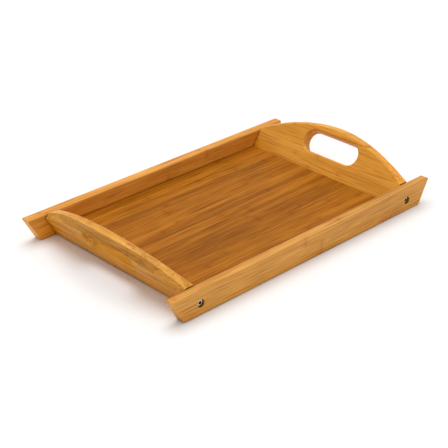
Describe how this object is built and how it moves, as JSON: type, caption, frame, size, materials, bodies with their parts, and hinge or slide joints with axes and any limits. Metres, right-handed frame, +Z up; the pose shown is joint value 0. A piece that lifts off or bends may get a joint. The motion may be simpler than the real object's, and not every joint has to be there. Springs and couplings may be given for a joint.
{
  "type": "serving tray",
  "caption": "Rectangular bamboo serving tray with low side rails and outward-leaning arched end boards that have slotted hand holes.",
  "frame": {"origin": "on the table, under the middle of the tray", "axes": "+X along the rails to the right end board, +Y from the front rail to the rear rail, +Z up"},
  "size_m": [0.4496, 0.2804, 0.0634],
  "materials": {
    "bamboo_panel": "satin lacquer on caramel bamboo, grain along the tray",
    "bamboo_rail": "satin lacquer on light bamboo, grain along the rail",
    "bamboo_board": "satin lacquer on light bamboo, grain along the board",
    "screw_steel": "bright nickel plating"
  },
  "bodies": {
    "root": {"base_panel": "bamboo_panel", "front_rail": "bamboo_rail", "rear_rail": "bamboo_rail", "left_end_board": "bamboo_board", "right_end_board": "bamboo_board", "screw_front_left": "screw_steel", "screw_rear_left": "screw_steel", "screw_front_right": "screw_steel", "screw_rear_right": "screw_steel"}
  },
  "joints": []
}
